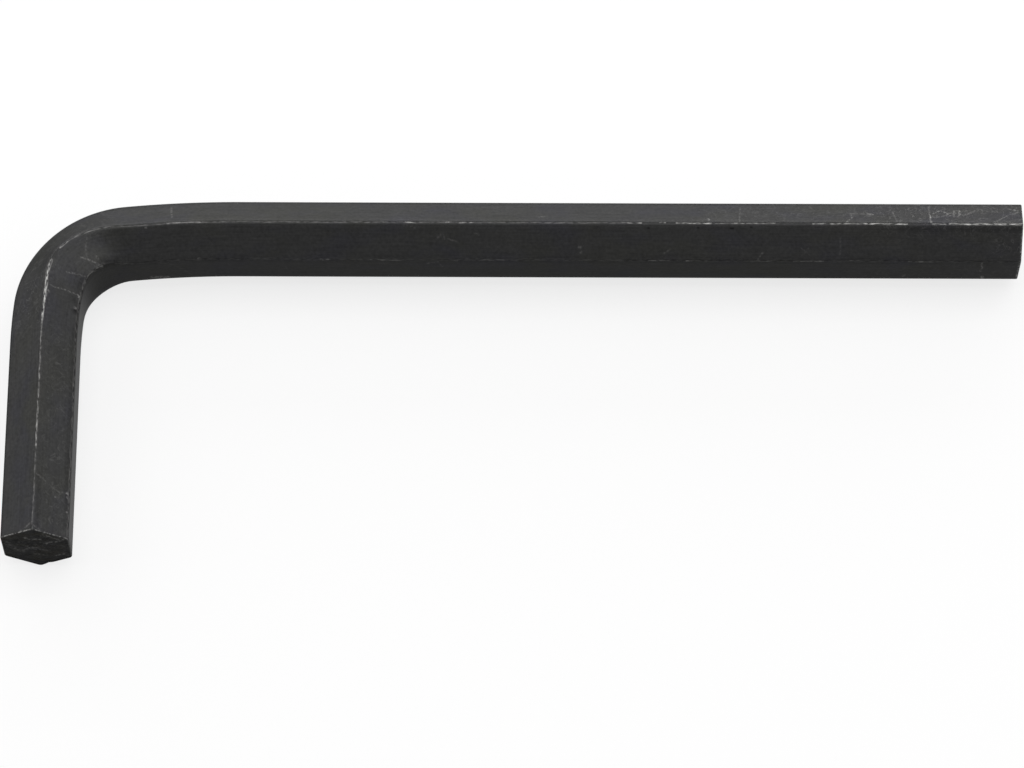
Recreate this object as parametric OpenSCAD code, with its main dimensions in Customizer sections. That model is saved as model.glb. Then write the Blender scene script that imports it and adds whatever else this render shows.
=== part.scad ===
// Hex key: one bar of hexagon steel, cold bent into a long arm and a short arm.
// It lies flat: long arm along +X, short arm towards -Y, two of the bar's corners facing up and down.

/* [Bar] */

// Width of the hexagon bar across its flats, in mm
across_flats = 6; // [4:0.5:8]
// Depth by which rolling takes off the bar's six sharp corners, in mm
corner_loss = 0.065; // [0.02:0.005:0.2]

/* [Arms] */

// Overall length of the long arm, from the back of the short arm, in mm
long_arm_length = 91.3; // [70:0.1:180]
// Overall length of the short arm, from the back of the long arm, in mm
short_arm_length = 34; // [28:0.1:60]

/* [Bend] */

// Angle that the bar turns through from one arm to the other, in degrees
bend_angle = 91.05; // [90:0.05:93]
// Radius of the tight bend at the middle of the bar, in mm
bend_radius = 7.7; // [6:0.1:12]
// Radius of the slight curve that leads from the long arm into the tight bend, in mm
long_lead_radius = 98; // [60:1:140]
// Part of the turn that the long arm's slight curve makes, in degrees
long_lead_angle = 6; // [2:0.5:9]
// Radius of the slight curve that leads from the tight bend into the short arm, in mm
short_lead_radius = 46; // [30:1:70]
// Part of the turn that the short arm's slight curve makes, in degrees
short_lead_angle = 4.7; // [3:0.1:8]

/* [Sheared ends] */

// Depth of the small chamfer that breaks the corners at both ends, in mm
end_chamfer = 0.15; // [0.05:0.05:0.5]
// Angle that the short arm's end face leans back at the top, in degrees
short_end_lean_angle = 4.1; // [0:0.1:6]
// Angle that the short arm's end face is turned to the outside of the bend, in degrees
short_end_skew_angle = 2.3; // [0:0.1:6]
// Angle that the long arm's end face is turned to the inside of the bend, in degrees
long_end_skew_angle = 3; // [0:0.1:6]

/* [Hidden] */

// Black oxide steel
steel_colour = [0.06, 0.06, 0.065];
// Facets of round forms in the preview
curve_facets = 180;
// Sides of the bar
sides = 6;
// Angle between neighbouring corners of the bar
corner_step = 360 / sides;
// Direction of the first corner, straight up
first_corner_angle = 90;
// A quarter turn
square_angle = 90;
// Half the width across flats
half_flats = across_flats / 2;
// Distance from the bar's middle to a sharp corner, before rolling
sharp_reach = half_flats / cos(corner_step / 2);
// Distance from the bar's middle to its rolled corners
corner_reach = sharp_reach - corner_loss;
// Half the angle that each rolled corner takes up round the bar
corner_half_angle = corner_step / 2 - acos(half_flats / corner_reach);
// Part of the turn that the tight bend makes
tight_angle = bend_angle - long_lead_angle - short_lead_angle;
// Angles, seen from the bend's centres, at which one curve goes over into the next
angle_a = square_angle;
angle_b = angle_a + long_lead_angle;
angle_c = angle_b + tight_angle;
angle_d = angle_c + short_lead_angle;
// Centres of the three curves, with the long arm's straight ending at zero
long_lead_centre = [0, -long_lead_radius];
bend_centre = long_lead_centre + (long_lead_radius - bend_radius) * along(angle_b);
short_lead_centre = bend_centre + (bend_radius - short_lead_radius) * along(angle_c);
// Point where the short arm's straight begins
short_arm_start = short_lead_centre + short_lead_radius * along(angle_d);
// Direction of the short arm
short_arm_heading = angle_d + square_angle;
// Angle by which the short arm leans towards the long arm
short_arm_lean_in = bend_angle - square_angle;
// Leftmost and rearmost places of the whole key
left_x = short_lead_centre[0] - short_lead_radius - half_flats;
back_y = half_flats;
// Slopes of the two end faces across and up the bar
long_end_slope = end_slope(-long_end_skew_angle, 0);
short_end_slope = end_slope(-short_end_skew_angle, short_end_lean_angle);
// The short arm's slopes, seen along the length that is measured on the whole key
short_end_fall = [
    short_end_slope[0] * cos(short_arm_lean_in) - sin(short_arm_lean_in),
    short_end_slope[1] * cos(short_arm_lean_in)
];
// Straight lengths at the middle of the bar
long_straight = left_x + long_arm_length - furthest(long_end_slope);
short_straight = (short_arm_length - back_y + short_arm_start[1] - furthest(short_end_fall))
    / cos(short_arm_lean_in);
// Size of the coarse steps in which a curve is placed
coarse_step = 0.01;
// Extra bar that the sheared end faces are cut from
cutting_allowance = across_flats;
// Middle of the key's outline, brought to the origin
outline_middle = [left_x + long_arm_length / 2, back_y - short_arm_length / 2];

// Which node to draw

// Unit vector in the plane of the bend
function along(angle) = [cos(angle), sin(angle)];

// The two edges of one rolled corner, where it meets its flats
function corner_edges(number) = [
    for (side = [-1, 1])
        corner_reach * along(first_corner_angle + number * corner_step + side * corner_half_angle)
];

// Rise of an end face across and up the bar, from its skew and its lean
function end_slope(skew, lean) = [-tan(skew), -tan(lean) / cos(skew)];

// How far a sloped end face stands out in front of its middle
function furthest(slope) =
    max([for (number = [0 : sides - 1]) for (edge = corner_edges(number)) edge * slope]);

// Section of the bar: a hexagon with its corners rolled to a circle, corners up and down
module bar_section() {
    intersection() {
        polygon([
            for (number = [0 : sides - 1]) sharp_reach * along(first_corner_angle + number * corner_step)
        ]);
        circle(r = corner_reach, $fn = curve_facets);
    }
}

// Moves its children to a point in a coarse and a fine step, so that no digit of the place is lost
module at_point(point) {
    coarse = [for (value = point) round(value / coarse_step) * coarse_step];
    translate(coarse) {
        translate(point - coarse) {
            children();
        }
    }
}

// One curve of the bend, from one angle round its centre to another
module curved_bar(centre, radius, from_angle, turn) {
    at_point(centre) {
        rotate_extrude(angle = turn, start = from_angle, $fn = curve_facets) {
            translate([radius, 0]) {
                bar_section();
            }
        }
    }
}

// Bar of one length, square at both ends, along +X
module bar_along_x(length) {
    rotate([square_angle, 0, square_angle]) {
        linear_extrude(height = length) {
            bar_section();
        }
    }
}

// Cone that shears a bar off at its tip and breaks the corners there, lying along the bar
module end_cutter(depth) {
    rotate([0, -square_angle, 0]) {
        cylinder(
            h = depth,
            r1 = corner_reach - end_chamfer,
            r2 = corner_reach - end_chamfer + depth,
            $fn = curve_facets
        );
    }
}

// Straight bar along +X with a sheared end face
module straight_bar(straight, skew, lean) {
    intersection() {
        bar_along_x(straight + cutting_allowance);
        translate([straight, 0, 0]) {
            rotate([0, -lean, skew]) {
                end_cutter(straight + cutting_allowance);
            }
        }
    }
}

// Long arm: the lever of the key
module long_arm() {
    straight_bar(long_straight, -long_end_skew_angle, 0);
}

// Elbow: two slight curves with the tight bend between them
module elbow() {
    curved_bar(long_lead_centre, long_lead_radius, angle_a, long_lead_angle);
    curved_bar(bend_centre, bend_radius, angle_b, tight_angle);
    curved_bar(short_lead_centre, short_lead_radius, angle_c, short_lead_angle);
}

// Short arm: the end that goes into a screw's socket
module short_arm() {
    at_point(short_arm_start) {
        rotate([0, 0, short_arm_heading]) {
            straight_bar(short_straight, -short_end_skew_angle, short_end_lean_angle);
        }
    }
}

// The whole key, lying on its lower corner with the middle of its outline at the origin
module hex_key() {
    color(steel_colour) {
        translate([-outline_middle[0], -outline_middle[1], corner_reach]) {
            long_arm();
            elbow();
            short_arm();
        }
    }
}

hex_key();
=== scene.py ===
import logging
import math
from dataclasses import dataclass, field
from enum import Enum

import bmesh
import bpy
from mathutils import Euler, Matrix, Vector, noise


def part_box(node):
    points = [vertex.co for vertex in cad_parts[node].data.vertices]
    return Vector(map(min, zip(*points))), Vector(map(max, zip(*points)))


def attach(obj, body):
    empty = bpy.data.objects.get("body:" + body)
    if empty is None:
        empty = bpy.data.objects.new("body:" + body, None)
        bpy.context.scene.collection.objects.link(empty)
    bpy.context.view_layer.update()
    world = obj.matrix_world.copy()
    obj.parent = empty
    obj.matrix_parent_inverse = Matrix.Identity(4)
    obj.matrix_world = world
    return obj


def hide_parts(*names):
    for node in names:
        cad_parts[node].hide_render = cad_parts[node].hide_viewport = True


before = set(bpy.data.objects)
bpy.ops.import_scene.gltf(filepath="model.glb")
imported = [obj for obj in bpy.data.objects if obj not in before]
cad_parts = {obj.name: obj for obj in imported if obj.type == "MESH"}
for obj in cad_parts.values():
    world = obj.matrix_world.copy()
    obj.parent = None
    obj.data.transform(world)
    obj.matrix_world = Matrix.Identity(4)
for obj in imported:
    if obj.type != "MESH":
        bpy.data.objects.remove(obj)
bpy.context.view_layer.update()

MM = 0.001
NODE = "hex_key"
BODY = "root"
SURFACE_MAP = "bar_surface"
WORN = "worn"
LONG_END_ASIDE = 20.0

log = logging.getLogger(NODE)


class Skin(Enum):
    """The two finishes on the key; the value is the material's number on the mesh."""

    DRAWN = 0
    SHEARED = 1


def linear(code: str) -> tuple[float, float, float, float]:
    """Turn an sRGB hex colour into the linear colour that a shader takes.

    Args:
        code: Six hex digits after a hash sign.

    Returns:
        Red, green, blue and an alpha of one.
    """
    parts = [int(code[i : i + 2], 16) / 255 for i in (1, 3, 5)]
    red, green, blue = [p / 12.92 if p <= 0.04045 else ((p + 0.055) / 1.055) ** 2.4 for p in parts]
    return red, green, blue, 1.0


def add_node(
    tree: bpy.types.NodeTree, kind: str, inputs: dict | None = None, **settings: object
) -> bpy.types.Node:
    """Add a node to a tree, with its settings and its links.

    Args:
        tree: The node tree that gets the node.
        kind: Blender's name of the node's type.
        inputs: Values or other nodes' output sockets, by input name or number.
        settings: The node's own properties.

    Returns:
        The new node.
    """
    node = tree.nodes.new(kind)
    for name, value in settings.items():
        setattr(node, name, value)
    for name, value in (inputs or {}).items():
        if isinstance(value, bpy.types.NodeSocket):
            tree.links.new(value, node.inputs[name])
        else:
            node.inputs[name].default_value = value
    return node


def smooth(value: float) -> float:
    """Ease a share from 0 to 1, held at both ends."""
    share = min(max(value, 0.0), 1.0)
    return share * share * (3 - 2 * share)


@dataclass(frozen=True)
class HexagonBar:
    """Section of the cold-drawn bar. Sizes are in mm."""

    across_flats: float = 6.0
    corner_reach: float = 3.3991
    corner_segments: int = 4
    flat_cuts: int = 7

    @property
    def half_flats(self) -> float:
        """Distance from the middle of the bar to a flat."""
        return self.across_flats / 2

    @property
    def sharp_reach(self) -> float:
        """Distance from the middle of the bar to a corner before rolling."""
        return self.half_flats / math.cos(math.radians(30))

    @property
    def side(self) -> float:
        """Width of one flat, from sharp corner to sharp corner."""
        return self.sharp_reach

    @property
    def corner_offset(self) -> float:
        """Part of each flat that a rolled corner takes up."""
        loss = self.sharp_reach - self.corner_reach
        radius = loss / (1 / math.cos(math.radians(30)) - 1)
        return radius * math.tan(math.radians(30))

    def round_the_bar(self, across: float, up: float) -> float:
        """Measure round the section from the top corner, positive to the inside of the bend.

        Args:
            across: Distance from the middle towards the outside of the bend.
            up: Distance from the middle upwards.

        Returns:
            The way round the bar in mm, from -3 to 3 flats.
        """
        angle = math.degrees(math.atan2(-across, up))
        flat = math.floor(angle / 60) + 0.5
        return flat * self.side + self.half_flats * math.tan(math.radians(angle - 60 * flat))

    def first_ring(self, bm: bmesh.types.BMesh, place: Matrix) -> list[bmesh.types.BMEdge]:
        """Draw the section with rolled corners as a closed ring of edges.

        Args:
            bm: The mesh that gets the ring.
            place: Where the ring stands, with its X outwards and its Y upwards.

        Returns:
            The ring's edges.
        """
        across, up = bm.verts.layers.float["across"], bm.verts.layers.float["up"]
        ring = bmesh.ops.create_circle(bm, cap_ends=True, segments=6, radius=self.sharp_reach * MM)
        bmesh.ops.bevel(
            bm,
            geom=ring["verts"],
            offset=self.corner_offset * MM,
            segments=self.corner_segments,
            profile=0.5,
            affect="VERTICES",
            material=-1,
        )
        flats = [e for e in bm.edges if e.calc_length() > self.half_flats / 2 * MM]
        bmesh.ops.subdivide_edges(bm, edges=flats, cuts=self.flat_cuts)
        bmesh.ops.delete(bm, geom=list(bm.faces), context="FACES_ONLY")
        for vert in bm.verts:
            vert[across], vert[up] = vert.co.x / MM, vert.co.y / MM
        bmesh.ops.transform(bm, matrix=place, verts=list(bm.verts))
        return list(bm.edges)


@dataclass(frozen=True)
class CornerDrift:
    """How one corner of the bar moved in the cold bend. Places are mm along the bar, moves are in mm."""

    middle: float
    reach_to_long_arm: float
    reach_to_short_arm: float
    out: float
    up: float = 0.0

    def share(self, along: float) -> float:
        """How much of the move has built up at a place along the bar, from 0 to 1."""
        reach = self.reach_to_long_arm if along < self.middle else self.reach_to_short_arm
        way = min(abs(along - self.middle) / reach, 1.0)
        return math.cos(way * math.pi / 2) ** 2


@dataclass(frozen=True)
class BendFlow:
    """How the steel flowed in the cold bend: it was squeezed taller inside, and the top corner moved out."""

    top: CornerDrift = CornerDrift(87.3, 7.0, 4.7, 0.87)
    inner: CornerDrift = CornerDrift(86.6, 5.8, 5.2, 0.3, 0.8)

    def move(self, bar: HexagonBar, along: float, across: float, up: float) -> tuple[float, float]:
        """Move of one point of the section, mirrored above and below the plane of the bend.

        Args:
            bar: The section.
            along: The point's place along the bar.
            across: Its distance towards the outside.
            up: Its distance upwards.

        Returns:
            The move outwards and the move upwards.
        """
        top, inner = self.top.share(along), self.inner.share(along)
        if not top and not inner:
            return 0.0, 0.0
        round_way = bar.round_the_bar(across, up) / bar.side
        out = lift = 0.0
        corners = (0, self.top, top), (3, self.top, -top), (1, self.inner, inner), (2, self.inner, -inner)
        for corner, drift, share in corners:
            gap = abs(round_way - corner)
            # A corner's move fades out before the next corner's rounding, which keeps its height.
            weight = max(1 - min(gap, 6 - gap) / (1 - 0.06), 0.0)
            out += drift.out * weight * abs(share)
            lift += drift.up * weight * share
        return out, lift


@dataclass(frozen=True)
class Stretch:
    """One stretch of the bar's middle line: straight, or an arc round a centre. Sizes are in mm."""

    length: float
    turn: float = 0.0
    centre: Vector = Vector((0, 0, 0))

    def advance(
        self, bm: bmesh.types.BMesh, ring: list, share: float, heading: float
    ) -> list[bmesh.types.BMEdge]:
        """Draw the ring out by a share of the stretch.

        Args:
            bm: The mesh that grows.
            ring: The edges of the last ring.
            share: The part of the stretch to go.
            heading: Direction of the middle line in degrees, for a straight stretch.

        Returns:
            The edges of the new ring.
        """
        ahead = Vector((math.cos(math.radians(heading)), math.sin(math.radians(heading)), 0))
        spun = bmesh.ops.spin(
            bm,
            geom=ring,
            cent=self.centre * MM,
            axis=(0, 0, 1),
            dvec=ahead * self.length * share * MM if self.turn == 0 else (0, 0, 0),
            angle=math.radians(self.turn * share),
            steps=1,
        )
        return [e for e in spun["geom_last"] if isinstance(e, bmesh.types.BMEdge)]


@dataclass
class Elbow:
    """The cold bend: a slight curve, the tight bend and a slight curve again. Sizes are in mm."""

    turn: float = 91.05
    radius: float = 7.7
    long_lead_radius: float = 98.0
    long_lead_turn: float = 6.0
    short_lead_radius: float = 46.0
    short_lead_turn: float = 4.7

    def curves(self, start: Vector) -> list[Stretch]:
        """The three arcs in order from the long arm.

        Args:
            start: Where the long arm's straight ends.

        Returns:
            The arcs as stretches.
        """
        turns = [self.long_lead_turn, 0.0, self.short_lead_turn]
        turns[1] = self.turn - sum(turns)
        radii = [self.long_lead_radius, self.radius, self.short_lead_radius]
        point, angle, arcs = start.copy(), 90.0, []
        for turn, radius in zip(turns, radii):
            out = Vector((math.cos(math.radians(angle)), math.sin(math.radians(angle)), 0))
            centre = point - out * radius
            arcs.append(Stretch(radius * math.radians(turn), turn, centre))
            angle += turn
            out = Vector((math.cos(math.radians(angle)), math.sin(math.radians(angle)), 0))
            point = centre + out * radius
        return arcs


@dataclass(frozen=True)
class ShearedEnd:
    """An end face, sheared off the bar by a press. Sizes are in mm and degrees."""

    skew: float
    lean: float
    edge_radius: float = 0.11
    rings: int = 14
    relief: float = 0.09
    grain: float = 1.1
    rim_wear: tuple[float, ...] = (0.35, 0.25, 0.3, 0.2, 0.3, 0.35)
    nick: tuple[float, float] | None = None
    nick_depth: float = 0.16
    nick_reach: float = 0.55

    def normal(self, heading: float) -> Vector:
        """Direction that the face looks in, on a bar that runs in a heading."""
        turned = Euler((0, math.radians(self.lean), math.radians(heading + self.skew)))
        face = Vector((1, 0, 0))
        face.rotate(turned)
        return face

    def depth(self, across: float, up: float) -> float:
        """How deep the torn steel lies behind the face at a point of it, in mm."""
        spot = Vector((across / self.grain, up / self.grain, self.skew))
        return self.relief * (0.5 + 0.5 * noise.fractal(spot, 0.6, 2.0, 4))

    def dent(self, across: float, up: float) -> float:
        """How far the nick pushed a point of the rim towards the middle, in mm."""
        if self.nick is None:
            return 0.0
        gap = math.dist(self.nick, (across, up)) / self.nick_reach
        return self.nick_depth * smooth(1 - gap)


@dataclass
class HexKey:
    """The whole key: one bar with a long arm, an elbow and a short arm. Sizes are in mm."""

    low: Vector
    high: Vector
    elbow: Elbow = field(default_factory=Elbow)
    flow: BendFlow = field(default_factory=BendFlow)
    long_end: ShearedEnd = ShearedEnd(skew=-3.0, lean=0.0, rim_wear=(0.5, 0.5, 0.3, 0.2, 0.3, 0.5))
    short_end: ShearedEnd = ShearedEnd(
        skew=-2.3, lean=-4.1, rim_wear=(0.4, 0.3, 0.3, 0.2, 0.3, 0.7), nick=(-0.8, -2.98)
    )
    ring_step: float = 0.25
    end_allowance: float = 0.6
    def __post_init__(self) -> None:
        """Take the bar's height and the middle line's start from the CAD box."""
        self.bar = HexagonBar(corner_reach=(self.high.z - self.low.z) / 2)
        level = (self.high.z + self.low.z) / 2
        arcs = self.elbow.curves(Vector((0, 0, 0)))
        left = arcs[2].centre.x - self.elbow.short_lead_radius - self.bar.half_flats
        self.bend_start = Vector((self.low.x - left, self.high.y - self.bar.half_flats, level))
        long_reach = self.support(self.long_end.normal(0), Vector((0, 1, 0)))
        self.long_straight = self.high.x - long_reach - self.bend_start.x

    def support(self, normal: Vector, outwards: Vector) -> float:
        """How far the section reaches along a face's slope, ahead of the middle of the bar."""
        reach = 0.0
        ahead = Vector((-outwards.y, outwards.x, 0))
        if normal.dot(ahead) < 0:
            ahead = -ahead
        for number in range(6):
            angle = math.radians(90 + 60 * number)
            corner = outwards * math.cos(angle) + Vector((0, 0, math.sin(angle)))
            corner *= self.bar.corner_reach
            reach = max(reach, -corner.dot(normal) / ahead.dot(normal))
        return reach

    def build_mesh(self) -> bmesh.types.BMesh:
        """Draw the bar out from the long arm's tip to the short arm's tip and shear off both ends.

        Returns:
            The closed mesh, with its places along and round the bar on its corners.
        """
        bm = bmesh.new()
        for name in ("along", "across", "up", WORN):
            bm.verts.layers.float.new(name)
        along = bm.verts.layers.float["along"]
        arcs = self.elbow.curves(self.bend_start)
        long_tip = self.bend_start.x + self.long_straight
        heading = 180 + self.elbow.turn
        last = arcs[2]
        out_angle = math.radians(90 + self.elbow.turn)
        outwards = Vector((math.cos(out_angle), math.sin(out_angle), 0))
        short_start = last.centre + outwards * self.elbow.short_lead_radius
        ahead = Vector((math.cos(math.radians(heading)), math.sin(math.radians(heading)), 0))
        short_normal = self.short_end.normal(heading)
        short_straight = self.short_length(short_start, ahead, outwards, short_normal)

        place = Matrix(((0, 0, 1, 0), (1, 0, 0, 0), (0, 1, 0, 0), (0, 0, 0, 1)))
        start = Vector((long_tip + self.end_allowance, self.bend_start.y, self.bend_start.z))
        ring = self.bar.first_ring(bm, Matrix.Translation(start * MM) @ place)
        for vert in bm.verts:
            vert[along] = -self.end_allowance
        way = -self.end_allowance

        def go(stretch: Stretch, ring: list, way: float, steps: int, heading: float) -> tuple:
            """Draw one stretch out in equal steps and mark how far along each ring is."""
            for _ in range(steps):
                ring = stretch.advance(bm, ring, 1 / steps, heading)
                way += stretch.length / steps
                for vert in {v for edge in ring for v in edge.verts}:
                    vert[along] = way
            return ring, way

        end = 2 * self.end_allowance
        ring, way = go(Stretch(end), ring, way, 1, 180)
        length = self.long_straight - self.end_allowance
        ring, way = go(Stretch(length), ring, way, round(length / self.ring_step), 180)
        for arc in arcs:
            ring, way = go(arc, ring, way, math.ceil(arc.length / self.ring_step), 180)
        length = short_straight - self.end_allowance
        ring, way = go(Stretch(length), ring, way, round(length / self.ring_step), heading)
        ring, way = go(Stretch(end), ring, way, 1, heading)

        bmesh.ops.recalc_face_normals(bm, faces=list(bm.faces))
        long_middle = Vector((long_tip, self.bend_start.y, self.bend_start.z))
        short_middle = short_start + ahead * short_straight
        self.length = way - self.end_allowance
        self.shear(bm, self.long_end, long_middle, Vector((-1, 0, 0)), 0.0)
        self.shear(bm, self.short_end, short_middle, ahead, self.length)
        bmesh.ops.remove_doubles(bm, verts=list(bm.verts), dist=0.002 * MM)
        bmesh.ops.recalc_face_normals(bm, faces=list(bm.faces))
        return bm

    def short_length(
        self, start: Vector, ahead: Vector, outwards: Vector, normal: Vector
    ) -> float:
        """Length of the short arm's straight, so that its face's foremost corner meets the CAD box."""
        lowest = math.inf
        for number in range(6):
            angle = math.radians(90 + 60 * number)
            corner = outwards * math.cos(angle) + Vector((0, 0, math.sin(angle)))
            corner *= self.bar.corner_reach
            corner -= ahead * (corner.dot(normal) / ahead.dot(normal))
            lowest = min(lowest, corner.y)
        return (self.low.y - start.y - lowest) / ahead.y

    def shear(
        self, bm: bmesh.types.BMesh, end: ShearedEnd, middle: Vector, ahead: Vector, along: float
    ) -> None:
        """Cut the bar off at an end face, close the cut with rings, break its edge and roughen it.

        Args:
            bm: The key's mesh.
            end: The end face.
            middle: The face's middle.
            ahead: Direction in which the bar's length is counted there.
            along: The face's place along the bar.
        """
        outwards = self.outwards(along)
        normal = end.normal(math.degrees(math.atan2(ahead.y, ahead.x)) + (180 if along <= 0 else 0))
        cut = bmesh.ops.bisect_plane(
            bm,
            geom=list(bm.verts) + list(bm.edges) + list(bm.faces),
            dist=0.0001 * MM,
            plane_co=middle * MM,
            plane_no=normal,
            clear_outer=True,
        )
        rim = [e for e in cut["geom_cut"] if isinstance(e, bmesh.types.BMEdge)]
        edges = rim
        to_middle = Matrix.Translation(-middle * MM)
        for number in range(end.rings, 1, -1):
            grown = bmesh.ops.extrude_edge_only(bm, edges=edges)["geom"]
            verts = [v for v in grown if isinstance(v, bmesh.types.BMVert)]
            edges = [e for e in grown if isinstance(e, bmesh.types.BMEdge)]
            edges = [e for e in edges if all(v in verts for v in e.verts)]
            share = (number - 1) / number
            bmesh.ops.scale(bm, vec=(share, share, share), space=to_middle, verts=verts)
            for face in (f for f in grown if isinstance(f, bmesh.types.BMFace)):
                face.material_index = Skin.SHEARED.value
        filled = bmesh.ops.edgeloop_fill(bm, edges=edges, mat_nr=Skin.SHEARED.value)
        bmesh.ops.poke(bm, faces=filled["faces"])
        bmesh.ops.bevel(
            bm,
            geom=rim,
            offset=end.edge_radius * MM,
            segments=2,
            profile=0.5,
            affect="EDGES",
            material=Skin.DRAWN.value,
            clamp_overlap=True,
        )
        layers = bm.verts.layers.float
        for vert in bm.verts:
            way = vert.co / MM - middle
            if abs(way.dot(ahead)) > self.end_allowance - 0.05 or way.length > self.bar.across_flats:
                continue
            vert[layers["along"]] = along + way.dot(ahead)
            vert[layers["across"]], vert[layers["up"]] = way.dot(outwards), way.z
            place = way.dot(outwards), way.z
            skins = {face.material_index for face in vert.link_faces}
            if skins == {Skin.SHEARED.value}:
                vert.co -= normal * end.depth(*place) * MM
            elif 0.1 < -way.dot(normal) / end.edge_radius < 0.7:
                flat = int(self.bar.round_the_bar(*place) // self.bar.side)
                vert[layers[WORN]] = end.rim_wear[flat]
            inwards = -(outwards * place[0] + Vector((0, 0, place[1]))).normalized()
            vert.co += inwards * end.dent(*place) * MM

    def shape_bend(self, bm: bmesh.types.BMesh) -> None:
        """Move the corners in the bend as the cold steel flowed there."""
        layers = bm.verts.layers.float
        along, across, up = layers["along"], layers["across"], layers["up"]
        for vert in bm.verts:
            out, lift = self.flow.move(self.bar, vert[along], vert[across], vert[up])
            if out or lift:
                vert.co += (self.outwards(vert[along]) * out + Vector((0, 0, lift))) * MM

    def outwards(self, along: float) -> Vector:
        """Direction to the outside of the bend at a place along the bar."""
        angle, start = 90.0, self.long_straight
        for arc in self.elbow.curves(self.bend_start):
            angle += arc.turn * min(max((along - start) / arc.length, 0.0), 1.0)
            start += arc.length
        return Vector((math.cos(math.radians(angle)), math.sin(math.radians(angle)), 0))

    def lay_surface_map(self, bm: bmesh.types.BMesh) -> None:
        """Unroll the bar: one unit of the map is 1 mm along it and round it, or on an end face."""
        layers = bm.verts.layers.float
        along, across, up = layers["along"], layers["across"], layers["up"]
        surface = bm.loops.layers.uv.new(SURFACE_MAP)
        whole = 6 * self.bar.side
        for face in bm.faces:
            ways = [self.bar.round_the_bar(v[across], v[up]) for v in face.verts]
            for loop, way in zip(face.loops, ways):
                if face.material_index == Skin.SHEARED.value:
                    aside = LONG_END_ASIDE if loop.vert[along] < self.bar.across_flats else 0
                    loop[surface].uv = (loop.vert[across] + aside, loop.vert[up])
                else:
                    way += whole * round((ways[0] - way) / whole)
                    loop[surface].uv = (loop.vert[along], way)

    def build(self, finishes: list[bpy.types.Material]) -> bpy.types.Object:
        """Make the key's one piece and dress it.

        Args:
            finishes: The materials, in the order of Skin.

        Returns:
            The finished object.
        """
        bm = self.build_mesh()
        self.shape_bend(bm)
        self.lay_surface_map(bm)
        for face in bm.faces:
            face.smooth = True
        mesh = bpy.data.meshes.new("drawn_bar")
        bm.to_mesh(mesh)
        bm.free()
        for material in finishes:
            mesh.materials.append(material)
        piece = bpy.data.objects.new("drawn_bar", mesh)
        bpy.context.scene.collection.objects.link(piece)
        mesh.set_sharp_from_angle(angle=math.radians(24))
        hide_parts(NODE)
        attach(piece, BODY)
        return piece


@dataclass(frozen=True)
class Hairline:
    """A scratch through the black.

    Its points are mm along and round the bar, or mm outwards and up on an end face.
    """

    points: tuple[tuple[float, float], ...]
    strength: float = 0.12
    width: float = 0.09


def scratched(
    tree: bpy.types.NodeTree, place: bpy.types.NodeSocket, lines: tuple[Hairline, ...]
) -> bpy.types.NodeSocket:
    """Add the nodes that draw hairline scratches on a surface map.

    Args:
        tree: The material's node tree.
        place: The point's place on the map, in mm.
        lines: The scratches.

    Returns:
        The share of bare steel, from 0 to 1.
    """
    mask = None
    for line in lines:
        gap = None
        for start, stop in zip(line.points, line.points[1:]):
            reach = Vector((*stop, 0)) - Vector((*start, 0))
            kind = "ShaderNodeVectorMath"
            off = add_node(tree, kind, {0: place, 1: (*start, 0)}, operation="SUBTRACT").outputs[0]
            per_reach = reach / reach.length_squared
            way = add_node(tree, kind, {0: off, 1: per_reach}, operation="DOT_PRODUCT").outputs[1]
            way = add_node(tree, "ShaderNodeClamp", {0: way}).outputs[0]
            near = add_node(tree, kind, {0: reach, "Scale": way}, operation="SCALE").outputs[0]
            step = add_node(tree, kind, {0: off, 1: near}, operation="DISTANCE").outputs[1]
            if gap is not None:
                step = add_node(tree, "ShaderNodeMath", {0: gap, 1: step}, operation="MINIMUM").outputs[0]
            gap = step
        mark = add_node(
            tree,
            "ShaderNodeMapRange",
            {"Value": gap, "From Max": line.width, "To Min": line.strength, "To Max": 0.0},
        ).outputs[0]
        if mask is not None:
            mark = add_node(tree, "ShaderNodeMath", {0: mask, 1: mark}, operation="MAXIMUM").outputs[0]
        mask = mark
    return mask


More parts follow.
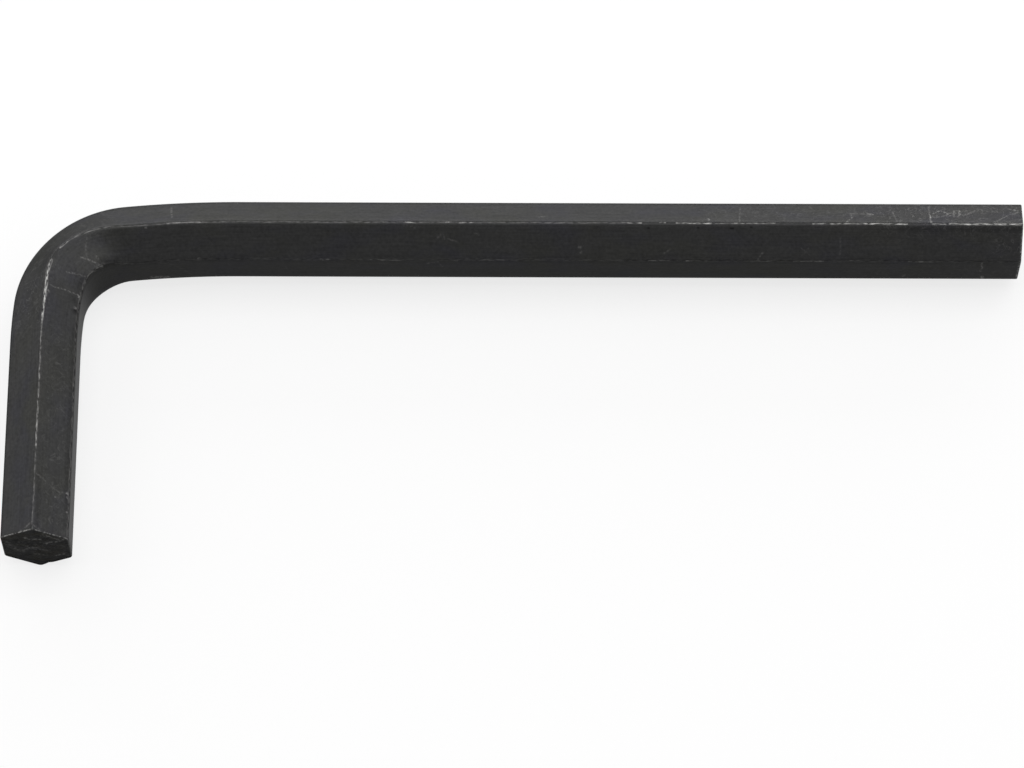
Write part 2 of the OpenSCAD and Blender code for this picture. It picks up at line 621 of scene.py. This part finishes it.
@dataclass(frozen=True)
class Oxide:
    """Steel blackened in a hot oxide bath and oiled: a thin near-black layer with a satin sheen.

    The layer follows the steel under it, so drawing lines and tears stay in sight, and it wears off
    corners first. Some long faint runs along corners are painted highlights in the worn steel's colour. Sizes
    are in mm.
    """

    name: str
    black: str = "#292929"
    blue_black: str = "#28282a"
    brown_black: str = "#292928"
    worn_and_highlight_steel: str = "#969593"
    edge_tint: str = "#cccccc"
    roughness: float = 0.40
    worn_roughness: float = 0.34
    line_pitch: float = 0.15
    line_length: float = 5.0
    line_contrast: float = 0.4
    grain: float = 0.3
    grain_contrast: float = 0.65
    mottle: float = 1.3
    mottle_contrast: float = 0.3
    patch: float = 5.0
    relief: float = 0.006
    wobble: float = 0.16
    swirl: float = 1.2
    scratches: tuple[Hairline, ...] = ()
    # Worn corners, and long faint runs along corners that are painted highlights.
    rubs_and_painted_highlights: tuple[Hairline, ...] = ()
    handled: tuple[Hairline, ...] = ()
    pits: tuple[Hairline, ...] = ()

    def noise(
        self,
        tree: bpy.types.NodeTree,
        place: bpy.types.NodeSocket,
        pitch: tuple[float, float],
        distortion: float = 0.0,
    ) -> bpy.types.Node:
        """Add a noise whose spots have a size in mm along and across the map."""
        scale = (1 / pitch[0], 1 / pitch[1], 0)
        scaled = add_node(tree, "ShaderNodeVectorMath", {0: place, 1: scale}, operation="MULTIPLY")
        inputs = {"Vector": scaled.outputs[0], "Scale": 1.0, "Detail": 2.0, "Distortion": distortion}
        return add_node(tree, "ShaderNodeTexNoise", inputs)

    def material(self) -> bpy.types.Material:
        """Build the finish.

        Returns:
            The material.
        """
        skin = bpy.data.materials.new(self.name)
        skin.use_nodes = True
        tree = skin.node_tree
        tree.nodes.clear()
        place = add_node(tree, "ShaderNodeUVMap", uv_map=SURFACE_MAP).outputs[0]
        # Drawing lines are about 0.05 mm apart; they are drawn coarser, so that they show.
        lines = self.noise(tree, place, (self.line_length, self.line_pitch)).outputs[0]
        grain = self.noise(tree, place, (self.grain, self.grain)).outputs[0]
        black = self.black_layer(tree, place, lines, grain)
        # Share of bare steel, which also carries the painted highlights along corners.
        bare = self.bare_steel_and_painted_highlights(tree, place)
        inputs = {0: bare, 6: black, 7: linear(self.worn_and_highlight_steel)}
        base = add_node(tree, "ShaderNodeMix", inputs, data_type="RGBA")
        inputs = {"Value": bare, "To Min": self.roughness, "To Max": self.worn_roughness}
        rough = add_node(tree, "ShaderNodeMapRange", inputs)
        height = add_node(tree, "ShaderNodeMath", {0: lines, 1: grain}, operation="ADD").outputs[0]
        inputs = {"Strength": 1.0, "Distance": self.relief * MM, "Height": height}
        bump = add_node(tree, "ShaderNodeBump", inputs)
        inputs = {
            "Base Color": base.outputs[2],
            "Metallic": 1.0,
            "Specular Tint": linear(self.edge_tint),
            "Roughness": rough.outputs[0],
            "Normal": bump.outputs[0],
        }
        steel = add_node(tree, "ShaderNodeBsdfPrincipled", inputs)
        add_node(tree, "ShaderNodeOutputMaterial", {"Surface": steel.outputs[0]})
        return skin

    def black_layer(
        self,
        tree: bpy.types.NodeTree,
        place: bpy.types.NodeSocket,
        lines: bpy.types.NodeSocket,
        grain: bpy.types.NodeSocket,
    ) -> bpy.types.NodeSocket:
        """Add the nodes for the black: its bluish and brownish patches, and how thick it lies.

        Args:
            tree: The material's node tree.
            place: The point's place on the map, in mm.
            lines: The drawing lines' noise.
            grain: The grain's noise.

        Returns:
            The colour.
        """
        patches = self.noise(tree, place, (self.patch, self.patch / 2)).outputs["Color"]
        patch = add_node(tree, "ShaderNodeSeparateColor", {0: patches})
        black = linear(self.black)
        for number, tint in enumerate((self.blue_black, self.brown_black)):
            inputs = {"Value": patch.outputs[number], "From Min": 0.48, "From Max": 0.66}
            share = add_node(tree, "ShaderNodeMapRange", inputs)
            inputs = {0: share.outputs[0], 6: black, 7: linear(tint)}
            black = add_node(tree, "ShaderNodeMix", inputs, data_type="RGBA").outputs[2]
        mottle = self.noise(tree, place, (self.mottle, self.mottle)).outputs[0]
        spread = (
            (lines, self.line_contrast),
            (grain, self.grain_contrast),
            (mottle, self.mottle_contrast),
        )
        shade = 1 - sum(contrast for _, contrast in spread) / 2
        for fac, contrast in spread:
            inputs = {0: fac, 1: contrast, 2: shade}
            shade = add_node(tree, "ShaderNodeMath", inputs, operation="MULTIPLY_ADD").outputs[0]
        if self.pits:
            inputs = {"Value": scratched(tree, place, self.pits), "To Min": 1.0, "To Max": 0.0}
            depth = add_node(tree, "ShaderNodeMapRange", inputs).outputs[0]
            shade = add_node(tree, "ShaderNodeMath", {0: shade, 1: depth}, operation="MULTIPLY").outputs[0]
        inputs = {0: black, "Scale": shade}
        return add_node(tree, "ShaderNodeVectorMath", inputs, operation="SCALE").outputs[0]

    def bare_steel_and_painted_highlights(
        self, tree: bpy.types.NodeTree, place: bpy.types.NodeSocket
    ) -> bpy.types.NodeSocket:
        """Add the nodes for where the black is gone: worn corners, scratches and fine handling marks, and for
        painted highlights along corners.

        Args:
            tree: The material's node tree.
            place: The point's place on the map, in mm.

        Returns:
            The share of bare steel and painted highlight, from 0 to 1.
        """
        chips, breaks = [
            add_node(
                tree,
                "ShaderNodeMapRange",
                {"Value": self.noise(tree, place, pitch).outputs[0], "From Min": 0.4, "From Max": 0.62},
            ).outputs[0]
            for pitch in ((0.6, 0.14), (0.22, 0.22))
        ]
        shaken = self.noise(tree, place, (1.1, 1.1)).outputs["Color"]
        inputs = {0: shaken, 1: (-0.5, -0.5, -0.5)}
        shaken = add_node(tree, "ShaderNodeVectorMath", inputs, operation="ADD").outputs[0]
        inputs = {0: shaken, 1: (self.wobble, self.wobble, 0), 2: place}
        shaken = add_node(tree, "ShaderNodeVectorMath", inputs, operation="MULTIPLY_ADD").outputs[0]
        # Handling leaves fine curved scratches: thin bands round the middle value of a swirled noise.
        swirls = self.noise(tree, place, (self.swirl, self.swirl), 1.5).outputs[0]
        off = add_node(tree, "ShaderNodeMath", {0: swirls, 1: 0.5}, operation="SUBTRACT").outputs[0]
        off = add_node(tree, "ShaderNodeMath", {0: off}, operation="ABSOLUTE").outputs[0]
        inputs = {"Value": off, "From Max": 0.02, "To Min": 1.0, "To Max": 0.0}
        swirls = add_node(tree, "ShaderNodeMapRange", inputs).outputs[0]

        bare = add_node(tree, "ShaderNodeAttribute", attribute_name=WORN).outputs["Fac"]
        bare = add_node(tree, "ShaderNodeMath", {0: bare, 1: breaks}, operation="MULTIPLY").outputs[0]
        # The rubs are worn corners and also painted highlights along corners; both show the worn steel's
        # colour.
        for lines, start, gaps in (
            (self.scratches, shaken, breaks),
            (self.rubs_and_painted_highlights, shaken, chips),
            (self.handled, place, swirls),
        ):
            if lines:
                inputs = {0: scratched(tree, start, lines), 1: gaps}
                marks = add_node(tree, "ShaderNodeMath", inputs, operation="MULTIPLY").outputs[0]
                inputs = {0: bare, 1: marks}
                bare = add_node(tree, "ShaderNodeMath", inputs, operation="MAXIMUM").outputs[0]
        return bare


# Corners: the short strokes are wear through the black. The long faint runs along the top corner and the lower
# corner (3.46 mm round) are painted highlights, which lighten the rolled corners.
RUBBED_CORNERS_AND_PAINTED_HIGHLIGHTS = (
    Hairline(((0.2, 0.0), (6.6, 0.0)), 0.8, 0.15),
    Hairline(((7.0, 0.0), (8.2, 0.0)), 0.5, 0.1),
    Hairline(((10.5, 0.03), (15.0, 0.0)), 0.75, 0.11),
    Hairline(((15.0, 0.0), (19.0, 0.03)), 0.5, 0.1),
    Hairline(((22.4, 0.0), (26.1, 0.0)), 0.5, 0.1),
    Hairline(((26.1, 0.02), (27.8, 0.0)), 0.3, 0.08),
    Hairline(((27.8, 0.0), (31.3, 0.0)), 0.7, 0.12),
    Hairline(((32.3, 0.0), (32.8, 0.0)), 0.6, 0.1),
    Hairline(((34.5, 0.0), (35.7, 0.0)), 0.6, 0.1),
    Hairline(((35.7, 0.0), (45.8, 0.0)), 0.25, 0.09),
    # Painted highlight: a faint even run along the top corner, which lightens the rolled corner's band.
    Hairline(((45.8, 0.0), (74.4, 0.0)), 0.16, 0.13),
    Hairline(((49.7, 0.0), (50.9, 0.0)), 0.6, 0.12),
    Hairline(((51.9, 0.0), (52.2, 0.0)), 0.6, 0.12),
    Hairline(((54.9, 0.0), (55.9, 0.0)), 0.6, 0.12),
    Hairline(((74.4, 0.0), (77.4, 0.0)), 0.55, 0.12),
    # Painted highlight: a faint even run along the top corner, which lightens the rolled corner's band.
    Hairline(((77.4, 0.0), (82.5, 0.0)), 0.14, 0.13),
    Hairline(((82.5, 0.0), (86.3, 0.0)), 0.25, 0.14),
    Hairline(((86.35, 0.0), (87.1, 0.0)), 0.6, 0.15),
    Hairline(((88.5, 0.0), (91.8, 0.0)), 1.0, 0.22),
    Hairline(((91.8, 0.0), (94.3, 0.0)), 0.9, 0.15),
    Hairline(((94.3, 0.0), (103.1, 0.0)), 0.4, 0.12),
    Hairline(((103.1, 0.0), (106.7, 0.0)), 0.55, 0.12),
    Hairline(((106.7, 0.0), (114.6, 0.0)), 0.2, 0.12),
    # Painted highlights: even runs along the lower corner, which lighten the rolled corner where it mirrors
    # the shaded floor.
    Hairline(((92.0, 3.46), (114.8, 3.46)), 0.3, 0.24),
    Hairline(((85.0, 3.46), (92.0, 3.46)), 0.22, 0.28),
    Hairline(((0.2, 3.46), (83.0, 3.46)), 0.06, 0.26),
    Hairline(((46.6, 3.46), (49.0, 3.46)), 0.16, 0.12),
    Hairline(((56.0, 3.6), (59.0, 3.46)), 0.2, 0.12),
    Hairline(((62.8, 3.46), (63.5, 3.46)), 0.3, 0.14),
    Hairline(((8.1, 3.5), (10.3, 3.5)), 0.3, 0.09),
    Hairline(((14.5, 3.4), (15.7, 3.4)), 0.2, 0.08),
    Hairline(((18.0, 3.5), (20.7, 3.5)), 0.35, 0.09),
    Hairline(((22.7, 3.5), (24.6, 3.5)), 0.2, 0.08),
    Hairline(((28.3, 3.5), (29.3, 3.5)), 0.2, 0.08),
    Hairline(((29.8, 3.5), (30.4, 3.5)), 0.35, 0.09),
    Hairline(((31.2, 3.5), (32.8, 3.5)), 0.2, 0.08),
    Hairline(((33.2, 3.5), (34.0, 3.5)), 0.35, 0.09),
    Hairline(((35.4, 3.5), (35.9, 3.5)), 0.2, 0.08),
    Hairline(((0.2, 6.93), (14.0, 6.93)), 0.4, 0.14),
    Hairline(((100.0, 6.93), (114.6, 6.93)), 0.45, 0.14),
    Hairline(((0.2, -6.93), (19.0, -6.93)), 0.6, 0.14),
    Hairline(((79.0, -6.93), (96.0, -6.93)), 0.6, 0.16),
    Hairline(((104.0, -6.93), (114.6, -6.93)), 0.45, 0.13),
    Hairline(((0.2, 10.39), (24.0, 10.39)), 0.7, 0.16),
    Hairline(((0.2, -10.39), (24.0, -10.39)), 0.7, 0.16),
    Hairline(((84.0, 10.39), (114.6, 10.39)), 0.6, 0.16),
    Hairline(((84.0, -10.39), (114.6, -10.39)), 0.6, 0.16),
)

DRAWN_SCRATCHES = (
    Hairline(((15.5, -1.63), (15.4, -0.93), (16.0, -0.1)), 0.2, 0.13),
    Hairline(((15.5, -1.63), (14.1, -1.63), (13.7, -1.3)), 0.16, 0.12),
    Hairline(((14.0, -1.63), (13.5, -1.5)), 0.3, 0.14),
    Hairline(((8.4, -2.9), (8.3, -1.7)), 0.16, 0.14),
    Hairline(((8.3, -1.5), (8.3, -0.2)), 0.4, 0.14),
    Hairline(((8.0, -1.7), (7.4, -2.2), (6.7, -1.7), (6.1, -2.0)), 0.24, 0.14),
    Hairline(((7.9, -1.0), (7.1, -1.3), (6.2, -1.9), (5.3, -1.5), (4.5, -1.9), (3.9, -2.5)), 0.18, 0.14),
    Hairline(((6.2, -1.2), (6.1, -2.2)), 0.25, 0.16),
    Hairline(((5.7, -1.3), (5.6, -2.2)), 0.25, 0.16),
    Hairline(((11.7, -2.0), (11.4, -0.3)), 0.12, 0.12),
    Hairline(((2.5, -0.3), (1.8, -1.0), (0.8, -1.7), (0.1, -2.1)), 0.14, 0.14),
    Hairline(((1.2, -2.6), (0.3, -2.2)), 0.2, 0.14),
    Hairline(((25.5, -2.6), (25.6, -0.2)), 0.08, 0.12),
    Hairline(((77.1, -2.7), (77.0, -1.0)), 0.12, 0.14),
    Hairline(((16.5, 1.3), (16.5, 2.9)), 0.06, 0.12),
    Hairline(((20.0, 2.3), (19.3, 2.9)), 0.05, 0.12),
    Hairline(((19.4, 2.3), (19.9, 2.9)), 0.05, 0.12),
    Hairline(((24.0, 3.4), (23.5, 2.7)), 0.14, 0.12),
    Hairline(((32.4, 2.8), (31.9, 2.4)), 0.08, 0.12),
    Hairline(((78.6, 3.6), (77.1, 4.1), (75.5, 6.2)), 0.05, 0.12),
    Hairline(((66.9, 3.9), (66.6, 5.4)), 0.04, 0.12),
    Hairline(((3.7, 3.7), (3.6, 4.7)), 0.35, 0.14),
    Hairline(((0.12, 0.7), (0.24, 3.4)), 0.3, 0.12),
    Hairline(((0.28, 3.5), (0.28, 6.7)), 0.5, 0.13),
    Hairline(((90.7, 0.15), (90.3, 3.2)), 0.14, 0.13),
    Hairline(((90.4, 3.2), (90.5, 3.25)), 0.5, 0.22),
    Hairline(((91.3, 0.3), (91.35, 0.35)), 0.25, 0.2),
    Hairline(((88.6, 1.6), (87.6, 3.45)), 0.12, 0.13),
    Hairline(((86.4, 1.8), (85.5, 2.85)), 0.14, 0.15),
    Hairline(((84.8, 0.5), (85.9, 2.0)), 0.06, 0.14),
    Hairline(((84.9, 2.3), (84.9, 2.6)), 0.1, 0.2),
    Hairline(((85.8, 3.2), (84.6, 3.2)), 0.06, 0.2),
    Hairline(((92.2, 3.0), (92.2, 3.05)), 0.3, 0.2),
    Hairline(((109.4, 0.3), (110.4, 1.7), (110.7, 2.4), (110.7, 3.3)), 0.08, 0.14),
    Hairline(((102.6, 2.1), (103.4, 3.2)), 0.05, 0.12),
    Hairline(((114.0, 0.0), (114.7, -1.2)), 0.12, 0.14),
    Hairline(((114.3, 0.1), (114.7, 0.7)), 0.12, 0.14),
    Hairline(((28.4, -0.6), (28.4, -0.55)), 0.7, 0.16),
    Hairline(((10.2, -2.5), (10.2, -2.45)), 0.3, 0.16),
    Hairline(((40.1, 2.2), (40.0, 2.25)), 0.16, 0.2),
    Hairline(((52.9, 1.4), (52.5, 1.0), (52.3, 1.5)), 0.07, 0.14),
    Hairline(((52.0, 1.5), (51.2, 1.8)), 0.08, 0.14),
    Hairline(((49.6, 1.0), (49.2, 1.15)), 0.07, 0.14),
    Hairline(((53.9, 4.2), (53.6, 3.9), (52.9, 3.8)), 0.12, 0.14),
    Hairline(((52.7, 4.2), (52.5, 4.7)), 0.1, 0.14),
    Hairline(((51.4, 3.5), (51.1, 3.6)), 0.14, 0.14),
    Hairline(((43.7, -0.9), (43.3, -1.0)), 0.1, 0.2),
    Hairline(((55.9, 0.3), (55.0, 0.5)), 0.05, 0.2),
    Hairline(((39.9, 2.7), (39.95, 2.75)), 0.12, 0.16),
    Hairline(((79.4, 0.27), (79.3, 0.3)), 0.14, 0.14),
    Hairline(((63.3, 3.55), (63.2, 3.6)), 0.25, 0.14),
    Hairline(((74.7, 3.35), (74.5, 3.35)), 0.25, 0.14),
    Hairline(((3.4, 6.3), (3.4, 6.6)), 0.6, 0.2),
    Hairline(((3.7, 5.0), (3.7, 5.3)), 0.25, 0.16),
    Hairline(((10.5, 6.1), (10.6, 6.3)), 0.2, 0.16),
    Hairline(((77.8, 6.5), (79.2, 6.4)), 0.3, 0.35),
    Hairline(((110.7, 3.2), (110.7, 3.3)), 0.45, 0.2),
    Hairline(((111.1, 3.2), (111.1, 3.25)), 0.25, 0.16),
    Hairline(((112.5, 3.2), (112.5, 3.25)), 0.25, 0.14),
    Hairline(((111.3, 2.05), (111.3, 2.1)), 0.14, 0.14),
    Hairline(((30.0, -7.9), (31.5, -9.6)), 0.2, 0.13),
    Hairline(((52.0, -4.2), (53.8, -6.4)), 0.16, 0.12),
    Hairline(((58.0, 8.0), (60.5, 9.9)), 0.2, 0.13),
    Hairline(((97.0, -4.0), (99.0, -6.2), (99.4, -8.0)), 0.18, 0.13),
    Hairline(((12.0, 7.6), (13.6, 9.8)), 0.22, 0.13),
)

HANDLED_FLATS = (
    Hairline(((0.0, -1.7), (12.0, -1.7)), 0.11, 4.0),
    Hairline(((83.5, -1.7), (93.0, -1.7)), 0.07, 3.4),
    Hairline(((0.0, -1.7), (28.0, -1.7)), 0.06, 2.4),
    Hairline(((0.0, 1.8), (1.4, 1.8)), 0.09, 2.4),
    Hairline(((0.0, 5.2), (14.0, 5.2)), 0.05, 2.4),
    Hairline(((96.0, 1.8), (115.0, 1.8)), 0.05, 2.4),
    Hairline(((0.0, 8.7), (26.0, 8.7)), 0.09, 2.2),
    Hairline(((0.0, -8.7), (26.0, -8.7)), 0.09, 2.2),
    Hairline(((0.0, -5.2), (16.0, -5.2)), 0.1, 2.2),
    Hairline(((98.0, -8.7), (115.0, -8.7)), 0.1, 2.2),
    Hairline(((82.0, -5.2), (115.0, -5.2)), 0.08, 2.2),
)

PITS = (
    Hairline(((84.7, 2.95), (82.8, 3.15)), 0.4, 0.6),
    Hairline(((90.9, 2.7), (91.5, 3.0)), 0.25, 0.5),
    Hairline(((92.5, 3.05), (92.55, 3.1)), 0.6, 0.4),
    Hairline(((94.4, 3.1), (113.8, 3.1)), 0.2, 0.35),
    Hairline(((0.5, 3.4), (36.0, 3.4)), 0.3, 0.16),
    Hairline(((70.0, 3.4), (81.0, 3.4)), 0.3, 0.16),
    Hairline(((24.5, 0.4), (24.6, 0.4)), 0.6, 0.14),
    Hairline(((26.2, 0.5), (26.4, 0.5)), 0.6, 0.14),
    Hairline(((29.3, 0.45), (29.4, 0.45)), 0.6, 0.14),
    Hairline(((33.8, 0.5), (33.9, 0.5)), 0.6, 0.14),
    Hairline(((0.2, 0.5), (11.0, 0.5)), 0.25, 0.4),
    Hairline(((109.5, 0.4), (114.6, 0.5)), 0.2, 0.4),
)

SHEARED_SCRATCHES = (
    Hairline(((0.45, 1.42), (-0.5, 1.47)), 0.3, 0.18),
    Hairline(((0.85, 1.6), (0.75, 1.65)), 0.3, 0.25),
    Hairline(((1.08, -0.5), (0.56, -0.1), (-0.1, 0.0), (-0.3, -0.2)), 0.2, 0.2),
    Hairline(((2.4, 0.8), (2.1, -0.2), (1.8, -0.5)), 0.12, 0.35),
    Hairline(((2.3, 0.2), (1.7, -0.6), (1.2, -0.7)), 0.12, 0.4),
    Hairline(((-0.7, 2.1), (-1.4, 2.1), (-1.6, 1.8)), 0.25, 0.18),
    Hairline(((-0.9, 2.5), (-1.2, 1.9)), 0.25, 0.22),
    Hairline(((-1.0, 0.7), (-1.2, 0.9)), 0.3, 0.26),
    Hairline(((-1.4, 1.0), (-2.0, 1.1), (-2.4, 1.4)), 0.25, 0.16),
    Hairline(((-1.6, 1.9), (-2.2, 1.4), (-2.6, 1.6)), 0.25, 0.18),
    Hairline(((-1.6, -1.5), (-2.3, -1.1), (-2.7, -1.3)), 0.18, 0.2),
    Hairline(((1.0, 0.3), (0.2, -0.4), (-0.9, -0.5)), 0.14, 0.18),
    Hairline(((0.3, -1.2), (-0.8, -1.5)), 0.1, 0.2),
    Hairline(((21.4, 1.1), (20.3, 1.6), (19.2, 1.2)), 0.1, 0.2),
    Hairline(((18.4, -0.4), (19.6, -0.9), (20.6, -0.6)), 0.08, 0.24),
)

TORN_STEEL = (
    Hairline(((-3.0, 0.6), (3.0, 0.6)), 0.1, 3.4),
    Hairline(((-3.0, -1.6), (3.0, -1.6)), 0.04, 3.0),
    Hairline(((17.0, 0.0), (23.0, 0.0)), 0.08, 5.0),
)


@dataclass(frozen=True)
class PaperFloor:
    """Plain white card under and behind the key: matt, with a light soft shadow."""

    white: str = "#fafafa"
    half_size: float = 1.2
    shadow_share: float = 0.22

    def build(self) -> bpy.types.Object:
        """Lay the floor.

        Returns:
            The floor's object.
        """
        bm = bmesh.new()
        bmesh.ops.create_grid(bm, x_segments=1, y_segments=1, size=self.half_size)
        mesh = bpy.data.meshes.new("white_card")
        bm.to_mesh(mesh)
        bm.free()
        card = bpy.data.materials.new("matt_white_card")
        card.use_nodes = True
        tree = card.node_tree
        tree.nodes.clear()
        matt = add_node(tree, "ShaderNodeBsdfDiffuse", {"Color": linear(self.white)})
        white = add_node(tree, "ShaderNodeEmission", {"Color": (1, 1, 1, 1), "Strength": 1.0})
        share = add_node(
            tree,
            "ShaderNodeMath",
            {0: seen_ray(tree), 1: 1 - self.shadow_share},
            operation="MULTIPLY",
        )
        look = add_node(
            tree, "ShaderNodeMixShader", {0: share.outputs[0], 1: matt.outputs[0], 2: white.outputs[0]}
        )
        add_node(tree, "ShaderNodeOutputMaterial", {"Surface": look.outputs[0]})
        mesh.materials.append(card)
        floor = bpy.data.objects.new("white_card", mesh)
        bpy.context.scene.collection.objects.link(floor)
        return floor


def seen_ray(tree: bpy.types.NodeTree) -> bpy.types.NodeSocket:
    """Add the nodes that tell rays which show the background from rays that only light the key."""
    path = add_node(tree, "ShaderNodeLightPath")
    seen = path.outputs["Is Camera Ray"]
    for other in ("Is Glossy Ray", "Is Transmission Ray"):
        inputs = {0: seen, 1: path.outputs[other]}
        seen = add_node(tree, "ShaderNodeMath", inputs, operation="MAXIMUM").outputs[0]
    return seen


@dataclass(frozen=True)
class SoftBox:
    """A large square lamp. Sizes are in metres, power in watts."""

    name: str
    place: tuple[float, float, float]
    aim: tuple[float, float, float]
    width: float
    height: float
    power: float

    def build(self) -> bpy.types.Object:
        """Hang the lamp and point it at its aim.

        Returns:
            The lamp's object.
        """
        lamp = bpy.data.lights.new(self.name, "AREA")
        lamp.shape = "RECTANGLE"
        lamp.size, lamp.size_y = self.width, self.height
        lamp.energy = self.power
        box = bpy.data.objects.new(self.name, lamp)
        box.location = self.place
        box.rotation_euler = (Vector(self.aim) - Vector(self.place)).to_track_quat("-Z", "Y").to_euler()
        bpy.context.scene.collection.objects.link(box)
        return box


@dataclass
class Studio:
    """Plain soft studio round the key: white card, soft lamps and an even white surround."""

    surround_level: float = 0.17
    floor: PaperFloor = PaperFloor()
    lamps: tuple[SoftBox, ...] = (
        SoftBox("back_soft_box", (0.0, 0.95, 0.21), (0.0, 0.0, 0.0), 1.6, 0.42, 9.5),
        SoftBox("left_soft_box", (-0.8, 0.46, 0.42), (0.0, 0.0, 0.0), 1.5, 0.9, 5.9),
        SoftBox("right_soft_box", (0.8, 0.2, 0.46), (0.0, 0.0, 0.0), 1.2, 1.1, 4.8),
        SoftBox("top_soft_box", (0.12, 0.3, 1.0), (0.12, 0.3, 0.0), 1.0, 0.9, 5.7),
    )

    def build(self) -> None:
        """Set up the floor, the lamps and the surround."""
        self.floor.build()
        for lamp in self.lamps:
            lamp.build()
        world = bpy.data.worlds.new("studio_surround")
        world.use_nodes = True
        tree = world.node_tree
        tree.nodes.clear()
        level = add_node(
            tree,
            "ShaderNodeMapRange",
            {"Value": seen_ray(tree), "To Min": self.surround_level, "To Max": 1.0},
        )
        light = add_node(
            tree, "ShaderNodeBackground", {"Color": (1, 1, 1, 1), "Strength": level.outputs[0]}
        )
        add_node(tree, "ShaderNodeOutputWorld", {"Surface": light.outputs[0]})
        bpy.context.scene.world = world
        bpy.context.scene.view_settings.view_transform = "Standard"


@dataclass(frozen=True)
class ProductCamera:
    """Camera of the product picture, placed by matching the key's edges in it. Sizes are in mm and degrees."""

    place: tuple[float, float, float] = (3.458, -155.119, 321.896)
    turn: tuple[float, float, float] = (25.8861, 0.4958, 0.4803)
    lens: float = 138.928
    sensor: float = 36.0

    def build(self) -> bpy.types.Object:
        """Place the camera and make it the scene's own.

        Returns:
            The camera's object.
        """
        data = bpy.data.cameras.new("product_camera")
        data.lens, data.sensor_width, data.sensor_fit = self.lens, self.sensor, "HORIZONTAL"
        data.clip_start, data.clip_end = 0.01, 20.0
        camera = bpy.data.objects.new("product_camera", data)
        camera.location = Vector(self.place) * MM
        camera.rotation_euler = Euler([math.radians(angle) for angle in self.turn], "XYZ")
        bpy.context.scene.collection.objects.link(camera)
        bpy.context.scene.camera = camera
        return camera


def main() -> None:
    """Build the camera, the studio and the key, and report the camera and the key."""
    logging.basicConfig(level=logging.INFO, format="%(message)s")
    log.info("camera: %s", ProductCamera().build().name)
    Studio().build()
    low, high = (Vector(corner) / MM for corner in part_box(NODE))
    drawn = Oxide(
        "black_oxide_cold_drawn_steel",
        scratches=DRAWN_SCRATCHES,
        rubs_and_painted_highlights=RUBBED_CORNERS_AND_PAINTED_HIGHLIGHTS,
        handled=HANDLED_FLATS,
        pits=PITS,
    ).material()
    sheared = Oxide(
        "black_oxide_sheared_steel",
        black="#1f1f1f",
        blue_black="#1e1e1f",
        brown_black="#22211e",
        roughness=0.5,
        line_pitch=0.35,
        line_length=0.7,
        line_contrast=0.9,
        grain=0.3,
        grain_contrast=0.9,
        mottle=1.0,
        mottle_contrast=1.2,
        patch=1.6,
        relief=0.03,
        swirl=0.7,
        scratches=SHEARED_SCRATCHES,
        handled=TORN_STEEL,
    ).material()
    key = HexKey(low, high).build([drawn, sheared])
    log.info("piece: %s with %d faces", key.name, len(key.data.polygons))


if __name__ == "__main__":
    main()
